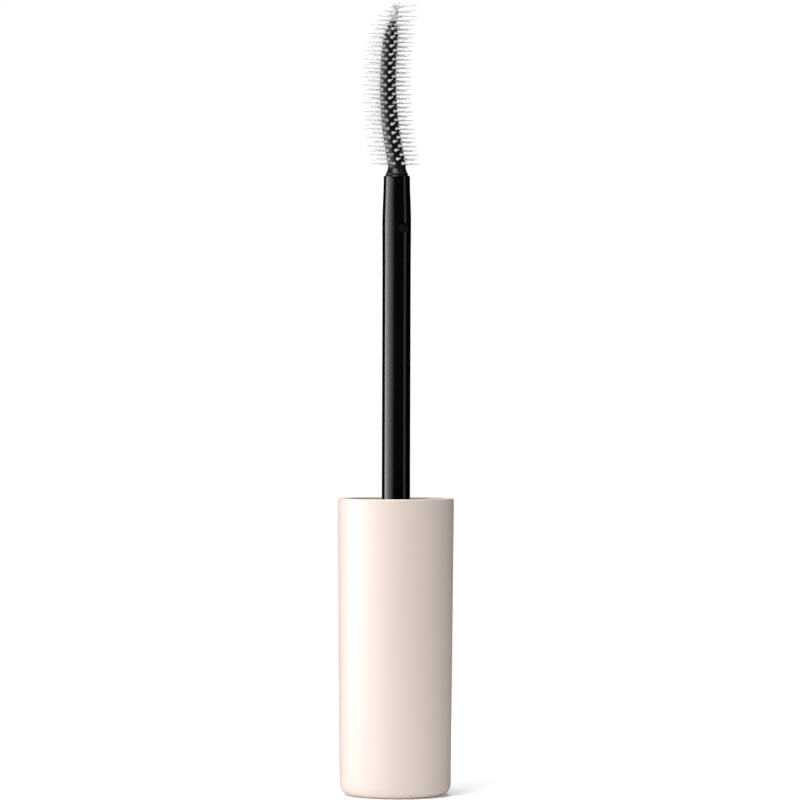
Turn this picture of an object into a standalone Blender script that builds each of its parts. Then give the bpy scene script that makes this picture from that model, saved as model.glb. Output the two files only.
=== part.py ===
"""Mascara applicator: a screw cap standing on its closed end, its stem, and a curved moulded brush.

Run it with blender --background --python part.py, or from Blender's text editor.
Metres, +Z up. The origin is the centre of the cap's closed end, which the part stands on, and the
brush bows towards -X. Every piece is one closed solid in its own object.
"""
import math

import bmesh
import bpy
from mathutils import Matrix, Vector

MM = 0.001

# Cap shell
CAP_HEIGHT = 43.5 * MM
CAP_RIM_RADIUS = 8.5 * MM
CAP_DRAFT = math.radians(0.47)      # the shell narrows towards its closed end
CAP_WALL = 1.25 * MM
CAP_FLOOR = 1.8 * MM
CAP_END_FILLET = 1.7 * MM
CAP_RIM_FILLET = 0.22 * MM
CAP_LEDGE = 0.7 * MM                # step in the bore that the core's floor sits on
CAP_FLOOR_FILLET = 1.2 * MM

# Fits
FIT_GAP = 0.1 * MM                  # between pressed pieces
SEAT_GAP = 0.1 * MM                 # between faces that rest on each other
MOULD_GAP = 0.06 * MM               # between the two shots of the brush

# Inner cap: the closure core pressed into the shell
INNER_RECESS = 0.9 * MM             # its mouth lies this far below the cap's rim
INNER_WALL = 0.85 * MM
INNER_FLOOR = 1.6 * MM
SOCKET_DEPTH = 13.5 * MM
BOSS_LENGTH = 9.0 * MM
BOSS_WALL = 1.5 * MM
BEAD_HEIGHT = 0.2 * MM              # snap beads, and the grooves that they click into
BEAD_WIDTH = 1.2 * MM
INNER_BEAD_DEPTH = 4.0 * MM         # from the core's mouth to its bead
LUG_COUNT = 6                       # lugs that turn the core with the shell
LUG_WIDTH = 1.6 * MM
LUG_LENGTH = 2.2 * MM

# Neck thread, right-handed, one start
THREAD_PITCH = 2.4 * MM
THREAD_TURNS = 2.0
THREAD_DEPTH = 0.65 * MM
THREAD_ROOT = 1.3 * MM              # axial width of a ridge at the wall
THREAD_CREST = 0.6 * MM
THREAD_START = 2.2 * MM             # from the core's mouth to the first ridge
THREAD_BURY = 0.3 * MM              # how far a ridge is sunk into the wall it grows from

# Gasket
GASKET_THICKNESS = 1.0 * MM
GASKET_CLEARANCE = 0.25 * MM        # round the rod and inside the socket's wall

# Rod
ROD_EXPOSED = 47.25 * MM            # from the cap's rim to the rod's mouth
ROD_RADIUS = 2.075 * MM
ROD_TIP_SWELL = 0.03 * MM           # fuller round the snap hole
ROD_MOUTH_TAPER = 0.15 * MM         # narrower at the mouth
ROD_TIP_LENGTH = 7.0 * MM
ROD_TIP_WALL = 0.6 * MM
ROD_MOUTH_CHAMFER = 0.15 * MM
ROD_HEAD_OVERHANG = 1.1 * MM
ROD_HEAD_THICKNESS = 1.4 * MM
SNAP_HOLE_RADIUS = 0.8 * MM
SNAP_HOLE_DEPTH = 7.75 * MM         # from the rod's mouth to the snap hole
SNAP_HOLE_AZIMUTH = math.radians(26.5)
SNAP_BUTTON_CLEARANCE = 0.15 * MM
SNAP_BUTTON_SINK = 0.25 * MM        # the button ends this far inside the rod's surface

# Brush: azimuths are measured from -Y, positive towards +X
SHANK_LENGTH = 9.3 * MM
FOOT_STEP = 0.27 * MM               # the foot is this much narrower than the rod's mouth
FOOT_HEIGHT = 0.3 * MM
SKIRT_HEIGHT = 1.2 * MM
BRUSH_CORE_RADIUS = 1.3 * MM
BRUSH_CORE_END_RADIUS = 1.05 * MM
BRUSH_TIP_RADIUS = 0.58 * MM
BRUSH_TIP_ROUNDING = 3.2 * MM       # stretch over which the black core rounds in to its tip
SPINE_RADIUS = 0.6 * MM             # of the soft shot inside the black core
SPINE_END_RADIUS = 0.36 * MM
NUB_RADIUS = 0.54 * MM              # of the soft shot past the black core's end
ROW_COUNT = 37
ROW_PITCH = 0.636 * MM
FIRST_ROW = 1.77 * MM               # from the rod's mouth to the first row
NUB_ROWS = 4                        # rows past the end of the black core
CORE_PAST_ROW = 0.6                 # row pitches from the black core's last row to its end
BRISTLES_PER_ROW = 6
BRISTLE_PHASE = math.radians(-19.4)
BRISTLE_ROOT_HEIGHT = 0.3 * MM
BRISTLE_TIP = 0.13 * MM
BRISTLE_REACH = 3.735 * MM          # from the core's centreline
BRISTLE_REACH_DIFFERENCE = 0.215 * MM   # longer on the convex side, shorter on the concave side
TIP_ROUND_LENGTH = 8.0 * MM         # stretch over which the convex side's bristles shorten
TIP_ROUND_DEPTH = 3.2 * MM
NUB_HEIGHT = 0.35 * MM              # from the last row to the end of the nub
FAN_RISE = 0.6 * MM                 # how far the last row's ends rise above their roots
BOW_RADIUS = 55.0 * MM              # of the brush's curve
BOW_APEX_HEIGHT = 12.1 * MM         # from the first row to the curve's furthest point

SEGMENTS = 48
ROD_SEGMENTS = 32
PIN_SEGMENTS = 20                   # of the snap hole and the button in it
COLUMNS = 2 * BRISTLES_PER_ROW      # one column of faces for each place a bristle can stand

# Heights and radii that follow
CAP_BORE = CAP_RIM_RADIUS - CAP_WALL
LEDGE_BORE = CAP_BORE - CAP_LEDGE
INNER_RADIUS = CAP_BORE - FIT_GAP
SOCKET_RADIUS = INNER_RADIUS - INNER_WALL
LUG_OUTER = INNER_RADIUS - 2 * FIT_GAP
INNER_TOP = CAP_HEIGHT - INNER_RECESS
SOCKET_FLOOR = INNER_TOP - SOCKET_DEPTH
INNER_FLOOR_BOTTOM = SOCKET_FLOOR - INNER_FLOOR
INNER_BEAD = INNER_TOP - INNER_BEAD_DEPTH
LEDGE_HEIGHT = INNER_FLOOR_BOTTOM - SEAT_GAP
BOSS_BOTTOM = INNER_FLOOR_BOTTOM - BOSS_LENGTH
BOSS_BORE = ROD_RADIUS + FIT_GAP
BOSS_RADIUS = BOSS_BORE + BOSS_WALL
BOSS_BEAD_HEIGHT = INNER_FLOOR_BOTTOM - BOSS_LENGTH / 2
ROD_MOUTH = CAP_HEIGHT + ROD_EXPOSED
ROD_HEAD_TOP = BOSS_BOTTOM - SEAT_GAP
ROD_MOUTH_RADIUS = ROD_RADIUS - ROD_MOUTH_TAPER
ROD_SOCKET_RADIUS = ROD_MOUTH_RADIUS - ROD_TIP_WALL
SHANK_RADIUS = ROD_SOCKET_RADIUS - FIT_GAP
FIRST_ROW_HEIGHT = ROD_MOUTH + FIRST_ROW
LAST_ROW_HEIGHT = FIRST_ROW_HEIGHT + (ROW_COUNT - 1) * ROW_PITCH
CORE_ROWS = ROW_COUNT - NUB_ROWS
BRUSH_CORE_END = FIRST_ROW_HEIGHT + (CORE_ROWS - 1 + CORE_PAST_ROW) * ROW_PITCH
SPINE_BASE = FIRST_ROW_HEIGHT - BRISTLE_ROOT_HEIGHT / 2 - 0.5 * ROW_PITCH
NUB_BASE = BRUSH_CORE_END + MOULD_GAP
NUB_TOP = LAST_ROW_HEIGHT + NUB_HEIGHT
BOW_APEX = FIRST_ROW_HEIGHT + BOW_APEX_HEIGHT
BOW = BOW_APEX_HEIGHT ** 2 / (2 * BOW_RADIUS)


# ---------------------------------------------------------------- tools

def clear_scene():
    for obj in list(bpy.data.objects):
        bpy.data.objects.remove(obj, do_unlink=True)


def material(name, color, roughness, alpha=1.0):
    """A plain Principled plastic, with its colour in linear RGB."""
    made = bpy.data.materials.new(name)
    made.use_nodes = True
    shader = made.node_tree.nodes["Principled BSDF"]
    shader.inputs["Base Color"].default_value = (*color, 1.0)
    shader.inputs["Roughness"].default_value = roughness
    shader.inputs["Metallic"].default_value = 0.0
    shader.inputs["Alpha"].default_value = alpha
    return made


def add_object(name, bm, made_of):
    """Closes the bmesh off as a named, smooth-shaded object in the scene."""
    mesh = bpy.data.meshes.new(name)
    bm.to_mesh(mesh)
    bm.free()
    if made_of:
        mesh.materials.append(made_of)
    mesh.shade_smooth()
    mesh.set_sharp_from_angle(angle=math.radians(35))
    obj = bpy.data.objects.new(name, mesh)
    bpy.context.collection.objects.link(obj)
    return obj


def add_tool(name, bm):
    """An object that only shapes others: it isn't part of the model."""
    tool = add_object(name, bm, None)
    tool.hide_render = True
    tool.display_type = "WIRE"
    return tool


def combine(obj, tool, operation):
    modifier = obj.modifiers.new(tool.name, "BOOLEAN")
    modifier.operation = operation
    modifier.object = tool
    modifier.solver = "EXACT"


def arc(center_r, center_z, radius, start, end, steps):
    """Points (r, z) along an arc, from one angle to another in degrees."""
    points = []
    for step in range(steps + 1):
        angle = math.radians(start + (end - start) * step / steps)
        points.append((center_r + radius * math.cos(angle), center_z + radius * math.sin(angle)))
    return points


def turned(profile, segments, closed=False):
    """Spins a profile of (r, z) points round Z. It is closed, or runs from the axis to the axis."""
    bm = bmesh.new()
    verts = [bm.verts.new((r, 0.0, z)) for r, z in profile]
    ends = zip(verts, verts[1:] + verts[:1]) if closed else zip(verts, verts[1:])
    edges = [bm.edges.new(pair) for pair in ends]
    bmesh.ops.spin(bm, geom=verts + edges, cent=(0, 0, 0), axis=(0, 0, 1),
                   angle=math.tau, steps=segments, use_duplicate=False)
    bmesh.ops.remove_doubles(bm, verts=bm.verts, dist=1e-7)
    bmesh.ops.recalc_face_normals(bm, faces=bm.faces)
    return bm


def pin_towards(azimuth, height, radius, start, end, segments):
    """A round pin square to Z, from one distance off the axis to another."""
    bm = bmesh.new()
    length = end - start
    bmesh.ops.create_cone(bm, cap_ends=True, segments=segments, radius1=radius, radius2=radius,
                          depth=length)
    outward = Vector((math.sin(azimuth), -math.cos(azimuth), 0.0))
    turn = outward.to_track_quat("Z", "Y").to_matrix().to_4x4()
    place = Matrix.Translation(outward * (start + end) / 2 + Vector((0, 0, height)))
    bmesh.ops.transform(bm, matrix=place @ turn, verts=bm.verts)
    return bm


def bead(radius, height, width, depth):
    """Four profile points, in rising order: a snap bead on a shaft, or its groove in a bore."""
    return [(radius, height - width / 2),
            (radius + depth, height - width / 2 + depth),
            (radius + depth, height + width / 2 - depth),
            (radius, height + width / 2)]


# ---------------------------------------------------------------- cap

def shell_radius(height):
    return CAP_RIM_RADIUS - (CAP_HEIGHT - height) * math.tan(CAP_DRAFT)


def lug_boxes(clearance, inner, outer, bottom, top):
    """One box for each lug, standing between two radii and two heights."""
    bm = bmesh.new()
    size = Matrix.Diagonal((outer - inner, LUG_WIDTH + 2 * clearance, top - bottom, 1.0))
    place = Matrix.Translation(((inner + outer) / 2, 0.0, (bottom + top) / 2))
    for index in range(LUG_COUNT):
        turn = Matrix.Rotation(math.tau * index / LUG_COUNT, 4, "Z")
        bmesh.ops.create_cube(bm, size=1.0, matrix=turn @ place @ size)
    return bm


def make_outer_cap(made_of):
    """The shell: a drafted cup with a filleted closed end, a fine rim and a seat for the core."""
    end_radius = shell_radius(CAP_END_FILLET)
    outside = [(0.0, 0.0)]
    outside += arc(end_radius - CAP_END_FILLET, CAP_END_FILLET, CAP_END_FILLET, -90, 0, 6)
    outside += arc(CAP_RIM_RADIUS - CAP_RIM_FILLET, CAP_HEIGHT - CAP_RIM_FILLET, CAP_RIM_FILLET,
                   0, 90, 3)
    chamfer = CAP_RIM_FILLET / 2
    inside = [(CAP_BORE + chamfer, CAP_HEIGHT), (CAP_BORE, CAP_HEIGHT - chamfer)]
    inside += reversed(bead(CAP_BORE, INNER_BEAD, BEAD_WIDTH, BEAD_HEIGHT))
    inside += [(CAP_BORE, LEDGE_HEIGHT), (LEDGE_BORE, LEDGE_HEIGHT)]
    inside += arc(LEDGE_BORE - CAP_FLOOR_FILLET, CAP_FLOOR + CAP_FLOOR_FILLET, CAP_FLOOR_FILLET,
                  0, -90, 3)
    inside += [(0.0, CAP_FLOOR)]
    cap = add_object("outer_cap", turned(outside + inside, SEGMENTS), made_of)
    slots = lug_boxes(FIT_GAP, LEDGE_BORE - CAP_LEDGE, LUG_OUTER + FIT_GAP,
                      INNER_FLOOR_BOTTOM - LUG_LENGTH - SEAT_GAP, LEDGE_HEIGHT + 2 * SEAT_GAP)
    combine(cap, add_tool("lug_slots", slots), "DIFFERENCE")
    return cap


def thread_ridge():
    """The neck thread: one trapezium section spun up a right-handed helix inside the socket."""
    start = INNER_TOP - THREAD_START - THREAD_ROOT / 2 - THREAD_TURNS * THREAD_PITCH
    crest = SOCKET_RADIUS - THREAD_DEPTH
    root = SOCKET_RADIUS + THREAD_BURY
    section = [(root, start - THREAD_ROOT / 2), (SOCKET_RADIUS, start - THREAD_ROOT / 2),
               (crest, start - THREAD_CREST / 2), (crest, start + THREAD_CREST / 2),
               (SOCKET_RADIUS, start + THREAD_ROOT / 2), (root, start + THREAD_ROOT / 2)]
    bm = bmesh.new()
    verts = [bm.verts.new((r, 0.0, z)) for r, z in section]
    edges = [bm.edges.new(pair) for pair in zip(verts, verts[1:] + verts[:1])]
    steps = round(SEGMENTS * THREAD_TURNS)
    rise = THREAD_PITCH * THREAD_TURNS / steps
    bmesh.ops.spin(bm, geom=verts + edges, cent=(0, 0, 0), axis=(0, 0, 1), dvec=(0, 0, rise),
                   angle=math.tau * THREAD_TURNS, steps=steps, use_duplicate=False)
    bmesh.ops.holes_fill(bm, edges=[edge for edge in bm.edges if edge.is_boundary], sides=len(section))
    bmesh.ops.recalc_face_normals(bm, faces=bm.faces)
    return bm


def make_inner_cap(made_of):
    """The closure core: a threaded socket, a floor with a sealing land, and the rod's boss."""
    lead_in = INNER_WALL / 3
    profile = [(BOSS_BORE, BOSS_BOTTOM), (BOSS_RADIUS, BOSS_BOTTOM),
               (BOSS_RADIUS, INNER_FLOOR_BOTTOM), (INNER_RADIUS, INNER_FLOOR_BOTTOM)]
    profile += bead(INNER_RADIUS, INNER_BEAD, BEAD_WIDTH, BEAD_HEIGHT)
    profile += [(INNER_RADIUS, INNER_TOP), (SOCKET_RADIUS + lead_in, INNER_TOP),
                (SOCKET_RADIUS, INNER_TOP - lead_in), (SOCKET_RADIUS, SOCKET_FLOOR),
                (BOSS_BORE, SOCKET_FLOOR)]
    profile += reversed(bead(BOSS_BORE, BOSS_BEAD_HEIGHT, BEAD_WIDTH, BEAD_HEIGHT))
    core = add_object("inner_cap", turned(profile, SEGMENTS, closed=True), made_of)
    combine(core, add_tool("thread_ridge", thread_ridge()), "UNION")
    lugs = lug_boxes(0.0, LEDGE_BORE + FIT_GAP, LUG_OUTER,
                     INNER_FLOOR_BOTTOM - LUG_LENGTH, INNER_FLOOR_BOTTOM + INNER_FLOOR / 2)
    combine(core, add_tool("drive_lugs", lugs), "UNION")
    return core


def make_gasket(made_of):
    inner = ROD_RADIUS + GASKET_CLEARANCE
    outer = SOCKET_RADIUS - GASKET_CLEARANCE
    bottom = SOCKET_FLOOR + SEAT_GAP
    top = bottom + GASKET_THICKNESS
    profile = [(inner, bottom), (outer, bottom), (outer, top), (inner, top)]
    return add_object("neck_gasket", turned(profile, SEGMENTS, closed=True), made_of)


# ---------------------------------------------------------------- rod

def make_rod(made_of):
    """The stem: a head behind the boss, a snap bead in it, and a socketed tip for the brush."""
    tip_start = ROD_MOUTH - ROD_TIP_LENGTH
    head_radius = ROD_RADIUS + ROD_HEAD_OVERHANG
    socket_floor = ROD_MOUTH - SHANK_LENGTH - SEAT_GAP
    outside = [(0.0, ROD_HEAD_TOP - ROD_HEAD_THICKNESS),
               (head_radius, ROD_HEAD_TOP - ROD_HEAD_THICKNESS),
               (head_radius, ROD_HEAD_TOP), (ROD_RADIUS, ROD_HEAD_TOP)]
    outside += bead(ROD_RADIUS, BOSS_BEAD_HEIGHT, BEAD_WIDTH, BEAD_HEIGHT)
    outside += [(ROD_RADIUS, tip_start - ROD_TIP_LENGTH),
                (ROD_RADIUS + ROD_TIP_SWELL, tip_start)]
    for share in (0.25, 0.5, 0.75):
        narrowing = (ROD_TIP_SWELL + ROD_MOUTH_TAPER) * (1 - math.cos(math.pi * share)) / 2
        outside.append((ROD_RADIUS + ROD_TIP_SWELL - narrowing, tip_start + ROD_TIP_LENGTH * share))
    outside += [(ROD_MOUTH_RADIUS, ROD_MOUTH - ROD_MOUTH_CHAMFER),
                (ROD_MOUTH_RADIUS - ROD_MOUTH_CHAMFER, ROD_MOUTH)]
    socket = [(ROD_SOCKET_RADIUS, ROD_MOUTH), (ROD_SOCKET_RADIUS, socket_floor), (0.0, socket_floor)]
    rod = add_object("rod", turned(outside + socket, ROD_SEGMENTS), made_of)
    hole = pin_towards(SNAP_HOLE_AZIMUTH, ROD_MOUTH - SNAP_HOLE_DEPTH, SNAP_HOLE_RADIUS,
                       ROD_SOCKET_RADIUS / 2, 2 * ROD_RADIUS, PIN_SEGMENTS)
    combine(rod, add_tool("snap_hole", hole), "DIFFERENCE")
    return rod


# ---------------------------------------------------------------- brush

def bow(height):
    """How far the brush's centreline lies from the Z axis, along X."""
    above = max(height, FIRST_ROW_HEIGHT) - BOW_APEX
    return above ** 2 / (2 * BOW_RADIUS) - BOW


def row_height(row):
    return FIRST_ROW_HEIGHT + row * ROW_PITCH


def has_bristle(row, column):
    """Bristles stand in every other column, and the odd rows use the columns between."""
    return (row + column) % 2 == 0


def column_azimuth(column):
    return BRISTLE_PHASE + math.tau * column / COLUMNS


def add_ring(bm, radius, height):
    """One vertex at each edge between columns, level, round the brush's centreline."""
    ring = []
    for column in range(COLUMNS):
        azimuth = column_azimuth(column - 0.5)
        ring.append(bm.verts.new((bow(height) + radius * math.sin(azimuth),
                                  -radius * math.cos(azimuth), height)))
    return ring


def add_band(bm, lower, upper):
    """Quads between two rings, one for each column, in column order."""
    return [bm.faces.new((lower[c], lower[(c + 1) % COLUMNS], upper[(c + 1) % COLUMNS], upper[c]))
            for c in range(COLUMNS)]


def core_radius(height):
    """Of the black core: a slow taper that rounds in to its tip."""
    along = (height - FIRST_ROW_HEIGHT) / (BRUSH_CORE_END - FIRST_ROW_HEIGHT)
    radius = BRUSH_CORE_RADIUS + (BRUSH_CORE_END_RADIUS - BRUSH_CORE_RADIUS) * along
    rounded = max(0.0, 1 - (BRUSH_CORE_END - height) / BRUSH_TIP_ROUNDING)
    return radius - (BRUSH_CORE_END_RADIUS - BRUSH_TIP_RADIUS) * rounded ** 2


def soft_radius(height):
    """Of the soft shot: a spine that slims inside the core, then a half-egg nub past its end."""
    if height < NUB_BASE:
        along = (height - FIRST_ROW_HEIGHT) / (BRUSH_CORE_END - FIRST_ROW_HEIGHT)
        return SPINE_RADIUS + (SPINE_END_RADIUS - SPINE_RADIUS) * along ** 2
    up = (height - NUB_BASE) / (NUB_TOP - NUB_BASE)
    return NUB_RADIUS * math.sqrt(1 - min(1.0, up) ** 2)


def make_brush_core(made_of):
    """The hard shot: shank, snap button, foot, skirt, and a tube with a window for each bristle."""
    bm = bmesh.new()
    window = BRISTLE_ROOT_HEIGHT / 2 + MOULD_GAP
    foot = ROD_MOUTH + SEAT_GAP
    foot_radius = ROD_MOUTH_RADIUS - FOOT_STEP
    solid_rings = [(SHANK_RADIUS, ROD_MOUTH - SHANK_LENGTH), (SHANK_RADIUS, foot),
                   (foot_radius, foot), (foot_radius, foot + FOOT_HEIGHT),
                   (BRUSH_CORE_RADIUS, foot + SKIRT_HEIGHT)]
    outer = [add_ring(bm, radius, height) for radius, height in solid_rings]
    inner = [add_ring(bm, soft_radius(SPINE_BASE) + MOULD_GAP, SPINE_BASE - MOULD_GAP)]
    bm.faces.new(reversed(outer[0]))
    bm.faces.new(inner[0])
    for lower, upper in zip(outer, outer[1:]):
        add_band(bm, lower, upper)
    for row in range(CORE_ROWS):
        add_tube_length(bm, outer, inner, row_height(row) - window)
        opened = add_tube_length(bm, outer, inner, row_height(row) + window)
        windows = [column for column in range(COLUMNS) if has_bristle(row, column)]
        bmesh.ops.delete(bm, geom=[opened[c][skin] for c in windows for skin in (0, 1)],
                         context="FACES_ONLY")
        for column in windows:
            add_window(bm, outer[-2:], inner[-2:], column)
    add_tube_length(bm, outer, inner, BRUSH_CORE_END)
    add_band(bm, outer[-1], inner[-1])
    core = add_object("brush_core", bm, made_of)
    button = pin_towards(SNAP_HOLE_AZIMUTH, ROD_MOUTH - SNAP_HOLE_DEPTH,
                         SNAP_HOLE_RADIUS - SNAP_BUTTON_CLEARANCE, SHANK_RADIUS / 2,
                         ROD_RADIUS - SNAP_BUTTON_SINK, PIN_SEGMENTS)
    combine(core, add_tool("snap_button", button), "UNION")
    return core


def add_tube_length(bm, outer, inner, height):
    """Carries the tube's outside and bore up to a height. Gives each column's two faces."""
    outer.append(add_ring(bm, core_radius(height), height))
    inner.append(add_ring(bm, soft_radius(height) + MOULD_GAP, height))
    outside = add_band(bm, outer[-2], outer[-1])
    bore = add_band(bm, inner[-2], inner[-1])
    bmesh.ops.reverse_faces(bm, faces=bore)
    return list(zip(outside, bore))


def add_window(bm, outer, inner, column):
    """The four walls of the window that one bristle passes through."""
    after = (column + 1) % COLUMNS
    outside = [outer[0][column], outer[0][after], outer[1][after], outer[1][column]]
    inside = [inner[0][column], inner[0][after], inner[1][after], inner[1][column]]
    for corner in range(4):
        beyond = (corner + 1) % 4
        bm.faces.new((outside[corner], outside[beyond], inside[beyond], inside[corner]))


def bristle_end(row, outward):
    """Where the middle of a bristle's end lies, for one that points level along outward."""
    height = row_height(row)
    reach = BRISTLE_REACH - BRISTLE_REACH_DIFFERENCE * outward.x
    along = max(0.0, 1 - (LAST_ROW_HEIGHT - height) / TIP_ROUND_LENGTH)
    convex_share = (1 - outward.x) / 2
    reach -= TIP_ROUND_DEPTH * (1 - math.sqrt(1 - along ** 2)) * convex_share
    rise = FAN_RISE * (max(0, row - CORE_ROWS + 1) / NUB_ROWS) ** 4
    return Vector((bow(height), 0.0, height + rise)) + outward * reach


def make_bristles(made_of):
    """The soft shot: a spine that fills the core and grows out of its windows as bristles."""
    bm = bmesh.new()
    half = BRISTLE_ROOT_HEIGHT / 2
    rings = [add_ring(bm, soft_radius(SPINE_BASE), SPINE_BASE)]
    bm.faces.new(reversed(rings[0]))
    roots = []
    for row in range(ROW_COUNT):
        if row == CORE_ROWS:
            for radius in (SPINE_END_RADIUS, NUB_RADIUS):
                rings.append(add_ring(bm, radius, NUB_BASE))
                add_band(bm, rings[-2], rings[-1])
        for height in (row_height(row) - half, row_height(row) + half):
            rings.append(add_ring(bm, soft_radius(height), height))
            band = add_band(bm, rings[-2], rings[-1])
        roots += [(band[c], row, column_azimuth(c)) for c in range(COLUMNS) if has_bristle(row, c)]
    peak = bm.verts.new((bow(NUB_TOP), 0.0, NUB_TOP))
    for column in range(COLUMNS):
        bm.faces.new((rings[-1][column], rings[-1][(column + 1) % COLUMNS], peak))
    for root, row, azimuth in roots:
        grow_bristle(bm, root, row, azimuth)
    return add_object("bristles", bm, made_of)


def grow_bristle(bm, root, row, azimuth):
    """Extrudes one face of the spine into a tapered bristle."""
    outward = Vector((math.sin(azimuth), -math.cos(azimuth), 0.0))
    end = bristle_end(row, outward)
    grown = bmesh.ops.extrude_discrete_faces(bm, faces=[root])["faces"][0]
    across = Vector((outward.y, -outward.x, 0.0))
    middle = grown.calc_center_median()
    for vert in grown.verts:
        side = (vert.co - middle).dot(across)
        level = vert.co.z - middle.z
        vert.co = end + across * math.copysign(BRISTLE_TIP / 2, side)
        vert.co.z += math.copysign(BRISTLE_TIP / 2, level)


# ---------------------------------------------------------------- model

def main():
    clear_scene()
    blush = material("blush gloss plastic", (0.76, 0.66, 0.61), 0.18)
    black_core = material("black polypropylene", (0.012, 0.010, 0.010), 0.45)
    grey_foam = material("grey gasket elastomer", (0.35, 0.34, 0.33), 0.7)
    black_gloss = material("black gloss acetal", (0.006, 0.005, 0.006), 0.12)
    black_brush = material("black brush plastic", (0.012, 0.011, 0.012), 0.3)
    clear_soft = material("translucent elastomer", (0.85, 0.83, 0.82), 0.35, alpha=0.6)
    make_outer_cap(blush)
    make_inner_cap(black_core)
    make_gasket(grey_foam)
    make_rod(black_gloss)
    make_brush_core(black_brush)
    make_bristles(clear_soft)


main()
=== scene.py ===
"""Looks of a mascara applicator: blush screw cap standing on its closed end, black stem, curved brush.

Laid out as an add-on and run as a script. Metres, +Z up, the cap's closed end on the floor at the
origin, the brush bowing towards -X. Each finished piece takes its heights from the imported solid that
it stands for. Azimuths are measured from -Y, positive towards +X.
"""
import math

import bmesh
import bpy
from bpy.props import FloatProperty, FloatVectorProperty, IntProperty, PointerProperty
from mathutils import Matrix, Vector


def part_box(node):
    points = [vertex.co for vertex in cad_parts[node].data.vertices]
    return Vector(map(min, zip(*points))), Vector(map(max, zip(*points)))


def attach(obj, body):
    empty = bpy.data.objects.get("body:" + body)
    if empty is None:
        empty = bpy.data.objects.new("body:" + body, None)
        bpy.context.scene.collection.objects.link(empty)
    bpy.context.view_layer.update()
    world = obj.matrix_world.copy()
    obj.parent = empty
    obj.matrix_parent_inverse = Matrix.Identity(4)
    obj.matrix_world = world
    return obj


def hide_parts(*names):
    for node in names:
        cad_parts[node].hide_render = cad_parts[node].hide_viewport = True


bl_info = {
    "name": "Mascara Applicator",
    "version": (1, 0, 0),
    "blender": (4, 5, 0),
    "location": "View3D > Sidebar > Applicator",
    "description": "Finished surfaces, materials and studio for a mascara applicator",
    "category": "Object",
}

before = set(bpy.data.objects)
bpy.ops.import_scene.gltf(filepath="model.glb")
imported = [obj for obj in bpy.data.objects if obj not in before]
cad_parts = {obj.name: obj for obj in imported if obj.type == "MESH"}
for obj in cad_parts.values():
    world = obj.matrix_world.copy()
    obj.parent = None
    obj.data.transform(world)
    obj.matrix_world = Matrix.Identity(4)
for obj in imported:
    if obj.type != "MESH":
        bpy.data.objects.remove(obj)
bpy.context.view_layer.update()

MM = 0.001
CAP_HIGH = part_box("outer_cap")[1]
CORE_LOW, CORE_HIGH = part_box("inner_cap")
GASKET_LOW, GASKET_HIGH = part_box("neck_gasket")
STEM_LOW, STEM_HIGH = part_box("rod")
BRUSH_LOW, BRUSH_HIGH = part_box("brush_core")

SHELL_COLUMNS = 192         # faces round each turned or bowed piece
CORE_COLUMNS = 120
GASKET_COLUMNS = 128
STEM_COLUMNS = 96
BRUSH_COLUMNS = 72
NUB_COLUMNS = 48
THREAD_COLUMNS = 90         # in one turn of the thread
HOLE_COLUMNS = 24           # columns and rows of faces that make way for the snap hole
HOLE_ROWS = 8
HARD_EDGE = math.radians(40)        # a steeper edge between two faces is drawn sharp
SOFT_EDGE = math.radians(60)        # the same for the soft bristles


# ---------------------------------------------------------------- sizes and colours to change

def linear(hex_colour):
    """An sRGB hex colour as linear RGB."""
    channels = [int(hex_colour[at:at + 2], 16) / 255 for at in (1, 3, 5)]
    return tuple(c / 12.92 if c <= 0.04045 else ((c + 0.055) / 1.055) ** 2.4 for c in channels)


def length(name, description, default):
    return FloatProperty(name=name, description=description, default=default, unit="LENGTH",
                         precision=6)


def angle(name, description, degrees):
    return FloatProperty(name=name, description=description, default=math.radians(degrees),
                         subtype="ANGLE")


def number(name, description, default):
    return FloatProperty(name=name, description=description, default=default)


def count(name, description, default):
    return IntProperty(name=name, description=description, default=default, min=1)


def colour(name, description, hex_colour):
    return FloatVectorProperty(name=name, description=description, default=linear(hex_colour),
                               subtype="COLOR", min=0.0, max=1.0)


class CapSizes(bpy.types.PropertyGroup):
    """The shell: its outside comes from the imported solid's box."""
    rim_radius: length("Rim radius", "Outside, at the open end", CAP_HIGH.x)
    height: length("Height", "From the closed end to the rim", CAP_HIGH.z)
    draft: angle("Draft", "How the side leans in towards the closed end", 0.47)
    wall: length("Wall", "Thickness at the rim", 1.25 * MM)
    floor: length("Floor", "Thickness of the closed end", 1.8 * MM)
    end_fillet: length("End fillet", "Round at the closed end", 1.7 * MM)
    rim_fillet: length("Rim fillet", "Round at the rim's outer edge", 0.22 * MM)
    rim_break: length("Rim break", "Round at the rim's inner edge", 0.12 * MM)
    ledge: length("Ledge", "Step in the bore that the closure core sits on", 0.7 * MM)
    floor_fillet: length("Floor fillet", "Round inside the closed end", 1.2 * MM)


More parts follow.
